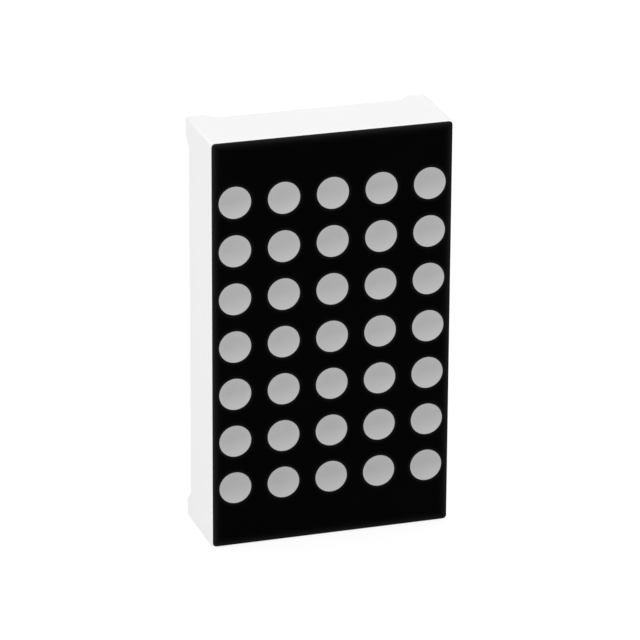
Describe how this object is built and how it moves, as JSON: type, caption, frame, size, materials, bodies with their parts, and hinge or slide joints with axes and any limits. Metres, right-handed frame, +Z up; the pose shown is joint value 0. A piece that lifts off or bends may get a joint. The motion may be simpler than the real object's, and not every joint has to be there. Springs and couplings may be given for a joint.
{
  "type": "led dot matrix",
  "caption": "Flat rectangular dot matrix display with a black face, round grey dots in a white reflector housing, corner feet and two rows of pins behind.",
  "frame": {"origin": "bottom centre of the whole display, pins included, as it stands on its lower end", "axes": "+X to the right of the face, +Y back along the pins, +Z up; the face looks along -Y"},
  "size_m": [0.0228, 0.012, 0.0389],
  "materials": {
    "housing": "white moulded polycarbonate, fine satin",
    "face_black": "matte black layer on the face",
    "dot_resin": "milky grey cast epoxy, satin",
    "chip": "light emitting semiconductor chip",
    "wire_gold": "gold bond wire",
    "copper": "etched copper with a thin plating",
    "board": "green glass-epoxy laminate with solder mask",
    "solder": "bright solder",
    "pin_tin": "tinned round wire"
  },
  "bodies": {
    "root": {"housing": "housing", "face_layer": "face_black", "dot_r1_c1": "dot_resin", "dot_r1_c2": "dot_resin", "dot_r1_c3": "dot_resin", "dot_r1_c4": "dot_resin", "dot_r1_c5": "dot_resin", "dot_r2_c1": "dot_resin", "dot_r2_c2": "dot_resin", "dot_r2_c3": "dot_resin", "dot_r2_c4": "dot_resin", "dot_r2_c5": "dot_resin", "dot_r3_c1": "dot_resin", "dot_r3_c2": "dot_resin", "dot_r3_c3": "dot_resin", "dot_r3_c4": "dot_resin", "dot_r3_c5": "dot_resin", "dot_r4_c1": "dot_resin", "dot_r4_c2": "dot_resin", "dot_r4_c3": "dot_resin", "dot_r4_c4": "dot_resin", "dot_r4_c5": "dot_resin", "dot_r5_c1": "dot_resin", "dot_r5_c2": "dot_resin", "dot_r5_c3": "dot_resin", "dot_r5_c4": "dot_resin", "dot_r5_c5": "dot_resin", "dot_r6_c1": "dot_resin", "dot_r6_c2": "dot_resin", "dot_r6_c3": "dot_resin", "dot_r6_c4": "dot_resin", "dot_r6_c5": "dot_resin", "dot_r7_c1": "dot_resin", "dot_r7_c2": "dot_resin", "dot_r7_c3": "dot_resin", "dot_r7_c4": "dot_resin", "dot_r7_c5": "dot_resin", "led_chips": "chip", "bond_wires": "wire_gold", "front_copper": "copper", "circuit_board": "board", "back_copper": "copper", "solder_joints": "solder", "pin_1": "pin_tin", "pin_2": "pin_tin", "pin_3": "pin_tin", "pin_4": "pin_tin", "pin_5": "pin_tin", "pin_6": "pin_tin", "pin_7": "pin_tin", "pin_8": "pin_tin", "pin_9": "pin_tin", "pin_10": "pin_tin", "pin_11": "pin_tin", "pin_12": "pin_tin"}
  },
  "joints": []
}
